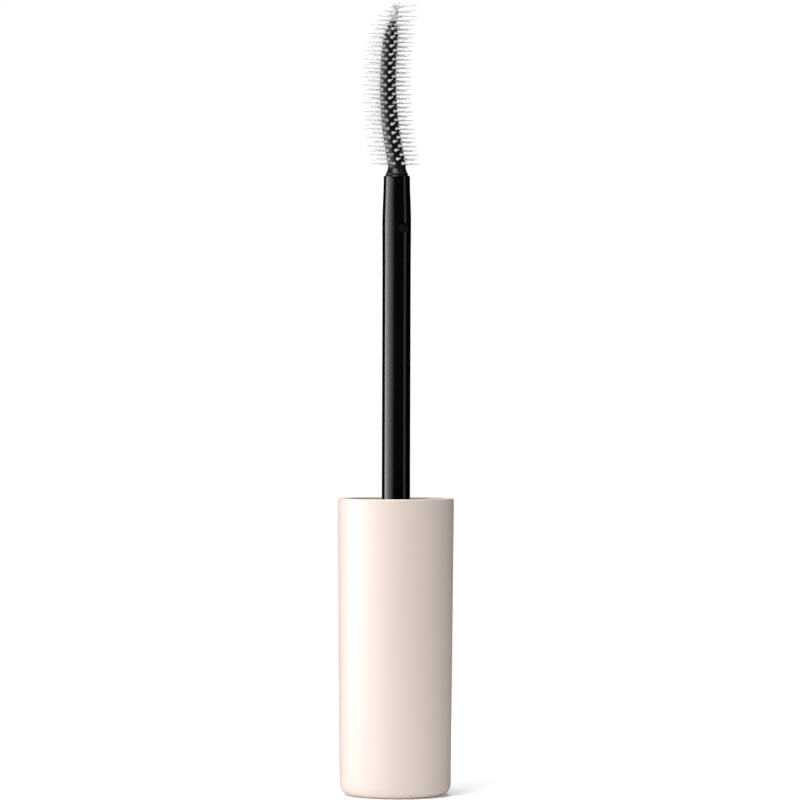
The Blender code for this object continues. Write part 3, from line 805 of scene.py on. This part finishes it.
def make_brush_core(stem, brush, colours):
    """The hard core: shank and button in the stem, collar and cone above it, then the slim curved
    core that closes to a point."""
    mouth_radius = stem.radius - stem.mouth_taper
    shank_radius = mouth_radius - stem.tip_wall - brush.shank_gap
    foot = STEM_HIGH.z + brush.foot_gap
    foot_radius = mouth_radius - brush.foot_step
    edge = brush.foot_edge
    rings = [(0.0, BRUSH_LOW.z), (shank_radius - brush.shank_bevel, BRUSH_LOW.z),
             (shank_radius, BRUSH_LOW.z + brush.shank_bevel), (shank_radius, foot)]
    rings += [(foot_radius - edge, foot), (foot_radius, foot + edge)]
    rings += arc(foot_radius - edge, foot + brush.foot_height - edge, edge, 0, 60, 3)
    skirt_top = foot + brush.skirt_height
    lip_radius, lip_height = rings[-1]
    steps = 6
    for step in range(1, steps + 1):
        share = step / steps
        ease = 1 - (1 - share) ** 1.5       # the skirt flattens out into the core
        rings.append((lip_radius + (brush.core_radius - lip_radius) * ease,
                      lip_height + (skirt_top - lip_height) * share))
    point = core_point(brush)
    straight = 90               # rings along the core before it closes
    for step in range(1, straight + 1):
        height = skirt_top + (point - brush.tip_round - skirt_top) * step / straight
        rings.append((core_radius(brush, height), height))
    closing = 18                # rings over which it closes
    for step in range(1, closing + 1):
        share = math.sin(math.pi / 2 * step / closing)
        height = point - brush.tip_round * (1 - share)
        rings.append((core_radius(brush, height) if step < closing else 0.0, height))
    core = add_object("brush_spine", bowed(brush, rings, BRUSH_COLUMNS),
                      satin_moulded_polyester(colours))
    unite(core, [add_object("snap_button", snap_button(stem, brush, shank_radius))])
    stands_for(core, "brush_core")


def nub_base(brush):
    return core_point(brush) - brush.nub_seat


def nub_top(brush):
    return row_height(brush, brush.rows - 1) + brush.nub_height


def nub_radius(brush, height):
    """Of the soft nub: a half egg that stands on the core's point."""
    top = nub_top(brush)
    base = nub_base(brush)
    share = min(1.0, max(0.0, (height - base) / (top - base)))
    return brush.nub_radius * math.sqrt(1 - share ** 2)


def bristle_roots(brush):
    """One point for each bristle, where it leaves the core, with the way it points, its length and
    its girth."""
    last = row_height(brush, brush.rows - 1)
    core_rows = brush.rows - brush.nub_rows
    least_start = 0.1 * MM
    lift_power = 4              # keeps the lean for the last rows
    for row in range(brush.rows):
        height = row_height(brush, row)
        for place in range(brush.per_row):
            azimuth = brush.phase + math.tau * (place + 0.5 * (row % 2)) / brush.per_row
            outward = level_way(azimuth)
            reach = brush.reach - brush.reach_difference * outward.x
            along = max(0.0, 1 - (last - height) / brush.rounding_length)
            outer_share = (1 - outward.x) / 2
            reach -= brush.rounding_depth * (1 - math.sqrt(1 - along ** 2)) * outer_share
            if height < nub_base(brush):
                start = core_radius(brush, height) - brush.root_sink
            else:
                start = max(nub_radius(brush, height) - brush.root_sink, least_start)
            lift = brush.nub_lift * (max(0, row - core_rows + 1) / brush.nub_rows) ** lift_power
            root = Vector((bow(brush, height), 0.0, height)) + outward * start
            way = (outward + raised(lift)).normalized()
            yield root, way, reach - start, 1.0 if row < core_rows else brush.nub_girth


def crown_roots(brush):
    """A few short bristles that fan up from the nub's top."""
    top = nub_top(brush)
    sink = 0.2 * MM
    ring = 0.15 * MM            # radius of the ring that they stand in
    outwards, upwards = 0.8, 0.9
    for place in range(brush.crown):
        outward = level_way(brush.phase + math.tau * place / brush.crown)
        way = (outward * outwards + raised(upwards)).normalized()
        root = Vector((bow(brush, top), 0.0, top - sink)) + outward * ring
        yield root, way, brush.crown_reach, brush.crown_girth


def read(tree, name, kind="FLOAT"):
    """What a named attribute holds."""
    return add_node(tree, "GeometryNodeInputNamedAttribute",
                    {"data_type": kind, "Name": name}).outputs["Attribute"]


# What the tree asks for, under the names that BristleSizes gives
BRISTLE_INPUTS = {"root_radius": "NodeSocketFloat", "sides": "NodeSocketInt",
                  "rings": "NodeSocketInt", "lean": "NodeSocketFloat",
                  "waviness": "NodeSocketFloat", "wave_length": "NodeSocketFloat",
                  "seed": "NodeSocketInt"}


def bristle_tree(material):
    """The tree that grows a tapered, slightly wandering bristle from each root point."""
    tree = bpy.data.node_groups.new("soft bristles", "GeometryNodeTree")
    tree.interface.new_socket("Geometry", in_out="OUTPUT", socket_type="NodeSocketGeometry")
    tree.interface.new_socket("Geometry", in_out="INPUT", socket_type="NodeSocketGeometry")
    for name, kind in BRISTLE_INPUTS.items():
        tree.interface.new_socket(name, in_out="INPUT", socket_type=kind)
    given = add_node(tree, "NodeGroupInput").outputs
    line = add_node(tree, "GeometryNodeCurvePrimitiveLine", {"End": (0.0, 0.0, 1.0)})
    points = add_node(tree, "GeometryNodeResampleCurve", None,
                      {"Curve": line.outputs["Curve"], "Count": given["rings"]})
    along = add_node(tree, "GeometryNodeSplineParameter").outputs["Factor"]
    marked = add_node(tree, "GeometryNodeStoreNamedAttribute",
                      {"data_type": "FLOAT", "domain": "POINT", "Name": "along"},
                      {"Geometry": points.outputs["Curve"], "Value": along})
    taper = add_node(tree, "ShaderNodeFloatCurve", None, {"Value": along})
    shape_taper(taper.mapping)
    thick = times(tree, taper.outputs["Value"], given["root_radius"])
    section = add_node(tree, "GeometryNodeCurvePrimitiveCircle", {"Radius": 1.0},
                       {"Resolution": given["sides"]})
    bristle = add_node(tree, "GeometryNodeCurveToMesh", {"Fill Caps": True},
                       {"Curve": marked.outputs["Geometry"], "Scale": thick,
                        "Profile Curve": section.outputs["Curve"]})
    aside = add_node(tree, "FunctionNodeRandomValue",
                     {"data_type": "FLOAT_VECTOR", 0: (-1.0, -1.0, -1.0), 1: (1.0, 1.0, 1.0)},
                     {"Seed": given["seed"]})
    lean = vector_times(tree, aside.outputs[0], given["lean"])
    leaning = add_node(tree, "ShaderNodeVectorMath", {"operation": "ADD"},
                       {0: read(tree, "way", "FLOAT_VECTOR"), 1: lean})
    turn = add_node(tree, "FunctionNodeAlignRotationToVector", {"axis": "Z"},
                    {"Vector": leaning.outputs["Vector"]})
    girth = read(tree, "girth")
    scale = add_node(tree, "ShaderNodeCombineXYZ", None,
                     {"X": girth, "Y": girth, "Z": read(tree, "reach")})
    grown = add_node(tree, "GeometryNodeInstanceOnPoints", None,
                     {"Points": given["Geometry"], "Instance": bristle.outputs["Mesh"],
                      "Rotation": turn.outputs["Rotation"], "Scale": scale.outputs["Vector"]})
    real = add_node(tree, "GeometryNodeRealizeInstances", None,
                    {"Geometry": grown.outputs["Instances"]})
    wandering = wander(tree, given, real.outputs["Geometry"])
    coated = add_node(tree, "GeometryNodeSetMaterial", {"Material": material},
                      {"Geometry": wandering})
    add_node(tree, "NodeGroupOutput", None, {"Geometry": coated.outputs["Geometry"]})
    return tree


def shape_taper(mapping):
    """A bristle's thickness along it: flared root, slim shaft, rounded tip."""
    curve = mapping.curves[0]
    curve.points[0].location = (0.0, 1.0)
    curve.points[1].location = (1.0, 0.1)
    for along, thick in ((0.1, 0.74), (0.25, 0.46), (0.55, 0.34), (0.94, 0.25)):
        curve.points.new(along, thick)
    mapping.update()


def wander(tree, given, geometry):
    """Moves a bristle's points aside by a noise of its own, more towards the tip."""
    place = add_node(tree, "GeometryNodeInputPosition")
    waves = add_node(tree, "ShaderNodeMath", {"operation": "DIVIDE", 0: 1.0},
                     {1: given["wave_length"]})
    noise = add_node(tree, "ShaderNodeTexNoise", {"noise_dimensions": "4D", "Detail": 0.0},
                     {"Vector": place.outputs["Position"], "W": read(tree, "number"),
                      "Scale": waves.outputs["Value"]})
    centered = add_node(tree, "ShaderNodeVectorMath", {"operation": "SUBTRACT", 1: (0.5, 0.5, 0.5)},
                        {0: noise.outputs["Color"]})
    amount = times(tree, read(tree, "along"), given["waviness"])
    shift = vector_times(tree, centered.outputs["Vector"], amount)
    moved = add_node(tree, "GeometryNodeSetPosition", None,
                     {"Geometry": geometry, "Offset": shift})
    return moved.outputs["Geometry"]


def make_bristles(brush, bristles, colours):
    """The soft shot: bristles in staggered rows, and the nub with its short crown."""
    material = natural_soft_elastomer(colours)
    roots, ways, reaches, girths = zip(*bristle_roots(brush), *crown_roots(brush))
    apart = 3.7                 # between the places where two bristles read their noise
    mesh = bpy.data.meshes.new("bristle roots")
    mesh.from_pydata(roots, [], [])
    for name, kind, field, values in (
            ("way", "FLOAT_VECTOR", "vector", [part for way in ways for part in way]),
            ("reach", "FLOAT", "value", reaches), ("girth", "FLOAT", "value", girths),
            ("number", "FLOAT", "value", [apart * index for index in range(len(roots))])):
        mesh.attributes.new(name, kind, "POINT").data.foreach_set(field, values)
    piece = link("soft_bristles", mesh)
    tree = bristle_tree(material)
    modifier = piece.modifiers.new("bristles", "NODES")
    modifier.node_group = tree
    sockets = {item.name: item.identifier for item in tree.interface.items_tree
               if item.in_out == "INPUT"}
    for name in BRISTLE_INPUTS:
        modifier[sockets[name]] = getattr(bristles, name)
    settle(piece)
    add_nub(piece.data, brush)
    piece.data.materials.clear()
    piece.data.materials.append(material)
    smooth(piece.data, SOFT_EDGE)
    stands_for(piece, "bristles")


def add_nub(mesh, brush):
    """Joins the soft nub to the bristles' mesh."""
    top = nub_top(brush)
    base = nub_base(brush)
    rings = [(0.0, base), (brush.nub_radius * 0.9, base)]       # its base is a little drawn in
    steps = 16
    for step in range(1, steps):
        height = base + (top - base) * math.sin(math.pi / 2 * step / steps)
        rings.append((nub_radius(brush, height), height))
    rings.append((0.0, top))
    nub = bowed(brush, rings, NUB_COLUMNS)
    nub.from_mesh(mesh)
    nub.to_mesh(mesh)
    nub.free()


# ---------------------------------------------------------------- studio

def add_softbox(name, radiance, place, facing, width, height):
    """A rectangular soft light of a given radiance, unseen by the camera."""
    light = bpy.data.lights.new(name, "AREA")
    light.shape = "RECTANGLE"
    light.size = width
    light.size_y = height
    light.energy = radiance * math.pi * width * height
    lamp = link(name, light)
    lamp.location = place
    lamp.rotation_euler = (Vector(facing) - Vector(place)).to_track_quat("-Z", "Y").to_euler()
    lamp.visible_camera = False
    return lamp


def fade_along_y(light, distance):
    """Dims a softbox from Y = 0 towards -Y, by a factor of e for each distance."""
    light.use_nodes = True
    tree = light.node_tree
    emission = tree.nodes["Emission"]
    place = add_node(tree, "ShaderNodeNewGeometry").outputs["Position"]
    parts = add_node(tree, "ShaderNodeSeparateXYZ", None, {"Vector": place})
    share = add_node(tree, "ShaderNodeMath", {"operation": "DIVIDE", 1: distance},
                     {0: parts.outputs["Y"]})
    power = add_node(tree, "ShaderNodeMath", {"operation": "EXPONENT"},
                     {0: share.outputs["Value"]})
    tree.links.new(power.outputs["Value"], emission.inputs["Strength"])


def make_studio(studio, colours):
    """White surroundings, a round floor lit from below, soft lights and the camera."""
    scene = bpy.context.scene
    scene.view_settings.view_transform = "Standard"
    world = bpy.data.worlds.new("white surroundings")
    scene.world = world
    world.use_nodes = True
    background = world.node_tree.nodes["Background"].inputs
    background["Color"].default_value = (1.0, 1.0, 1.0, 1.0)
    background["Strength"].default_value = 1.0
    world.cycles_visibility.diffuse = False
    world.cycles_visibility.glossy = False

    bm = bmesh.new()
    bmesh.ops.create_circle(bm, cap_ends=True, segments=128, radius=studio.floor_radius)
    material, tree, shader, place = start_material("backlit matt white acrylic", {
        "Roughness": 0.9, "Emission Color": (1.0, 1.0, 1.0, 1.0),
        "Emission Strength": studio.floor_glow})
    shade(tree, shader, grain(tree, place, 3.0 * MM), colours.floor_white, 0.99)
    floor = add_object("studio_floor", bm, material)
    floor.visible_glossy = False    # the gloss pieces would mirror its round edge

    far_end = studio.key_side * math.tan(studio.key_far)
    near_end = -studio.key_side / math.tan(studio.key_near)
    middle = (far_end + near_end) / 2
    key = add_softbox("left softbox", studio.key, place=(-studio.key_side, middle, 0.07),
                      facing=(0.0, middle, 0.07), width=far_end - near_end, height=0.16)
    key.data.color = studio.key_colour
    fade_along_y(key.data, studio.key_fade)
    add_softbox("right reflector", studio.strip, place=(0.3, -0.101, 0.1),
                facing=(0.0, -0.101, 0.1), width=0.118, height=0.24)
    add_softbox("overhead softbox", studio.overhead, place=(0.0, 0.0, 2.0),
                facing=(0.0, 0.001, 0.0), width=0.8, height=0.8)
    back = add_softbox("back card", studio.back, place=(0.0, 0.6, 0.09),
                       facing=(0.0, 0.0, 0.09), width=0.06, height=0.09)
    back.visible_transmission = False   # so that it isn't seen through the clear bristles
    add_softbox("front softbox", studio.front, place=(-0.28, -0.49, 0.62),
                facing=(0.0, 0.0, 0.05), width=0.4, height=0.4)

    camera = bpy.data.cameras.new("camera")
    camera.sensor_width = 36.0
    camera.lens = camera.sensor_width * studio.distance / studio.view_width
    camera.clip_start = 10 * MM
    viewer = link("camera", camera)
    viewer.location = (studio.camera_side, -studio.distance, studio.camera_height)
    viewer.rotation_euler = (Matrix.Rotation(math.pi / 2, 3, "X")
                             @ Matrix.Rotation(studio.roll, 3, "Z")).to_euler()
    scene.camera = viewer


# ---------------------------------------------------------------- add-on

class APPLICATOR_OT_cap_shell(bpy.types.Operator):
    """Makes the cap's glossy shell"""
    bl_idname = "applicator.cap_shell"
    bl_label = "Cap shell"

    def execute(self, context):
        scene = context.scene
        make_cap_shell(scene.applicator_cap, scene.applicator_core, scene.applicator_colours)
        return {"FINISHED"}


class APPLICATOR_OT_closure_core(bpy.types.Operator):
    """Makes the threaded core inside the shell"""
    bl_idname = "applicator.closure_core"
    bl_label = "Closure core"

    def execute(self, context):
        scene = context.scene
        make_closure_core(scene.applicator_cap, scene.applicator_core, scene.applicator_colours)
        return {"FINISHED"}


class APPLICATOR_OT_neck_gasket(bpy.types.Operator):
    """Makes the soft ring on the socket's floor"""
    bl_idname = "applicator.neck_gasket"
    bl_label = "Neck gasket"

    def execute(self, context):
        scene = context.scene
        make_neck_gasket(scene.applicator_core, scene.applicator_colours)
        return {"FINISHED"}


class APPLICATOR_OT_stem(bpy.types.Operator):
    """Makes the gloss stem with its snap hole"""
    bl_idname = "applicator.stem"
    bl_label = "Stem"

    def execute(self, context):
        scene = context.scene
        make_stem(scene.applicator_core, scene.applicator_stem, scene.applicator_colours)
        return {"FINISHED"}


class APPLICATOR_OT_brush_core(bpy.types.Operator):
    """Makes the brush's hard curved core"""
    bl_idname = "applicator.brush_core"
    bl_label = "Brush core"

    def execute(self, context):
        scene = context.scene
        make_brush_core(scene.applicator_stem, scene.applicator_brush, scene.applicator_colours)
        return {"FINISHED"}


class APPLICATOR_OT_bristles(bpy.types.Operator):
    """Grows the soft bristles and the nub"""
    bl_idname = "applicator.bristles"
    bl_label = "Bristles"

    def execute(self, context):
        scene = context.scene
        make_bristles(scene.applicator_brush, scene.applicator_bristles,
                      scene.applicator_colours)
        return {"FINISHED"}


class APPLICATOR_OT_studio(bpy.types.Operator):
    """Sets up the floor, the surroundings, the lights and the camera"""
    bl_idname = "applicator.studio"
    bl_label = "Studio"

    def execute(self, context):
        scene = context.scene
        make_studio(scene.applicator_studio, scene.applicator_colours)
        return {"FINISHED"}


class APPLICATOR_PT_panel(bpy.types.Panel):
    """Lists the applicator's pieces in the sidebar"""
    bl_label = "Mascara applicator"
    bl_idname = "APPLICATOR_PT_panel"
    bl_space_type = "VIEW_3D"
    bl_region_type = "UI"
    bl_category = "Applicator"

    def draw(self, context):
        for operator in OPERATORS:
            self.layout.operator(operator.bl_idname)


GROUPS = {
    "applicator_cap": CapSizes,
    "applicator_core": CoreSizes,
    "applicator_stem": StemSizes,
    "applicator_brush": BrushSizes,
    "applicator_bristles": BristleSizes,
    "applicator_colours": FinishColours,
    "applicator_studio": StudioSizes,
}
OPERATORS = (APPLICATOR_OT_cap_shell, APPLICATOR_OT_closure_core, APPLICATOR_OT_neck_gasket,
             APPLICATOR_OT_stem, APPLICATOR_OT_brush_core, APPLICATOR_OT_bristles,
             APPLICATOR_OT_studio)
CLASSES = (*GROUPS.values(), *OPERATORS, APPLICATOR_PT_panel)


def register():
    for made in CLASSES:
        bpy.utils.register_class(made)
    for name, group in GROUPS.items():
        setattr(bpy.types.Scene, name, PointerProperty(type=group))


def unregister():
    for name in GROUPS:
        delattr(bpy.types.Scene, name)
    for made in reversed(CLASSES):
        bpy.utils.unregister_class(made)


def main():
    register()
    bpy.ops.applicator.cap_shell()
    bpy.ops.applicator.closure_core()
    bpy.ops.applicator.neck_gasket()
    bpy.ops.applicator.stem()
    bpy.ops.applicator.brush_core()
    bpy.ops.applicator.bristles()
    bpy.ops.applicator.studio()


if __name__ == "__main__":
    main()
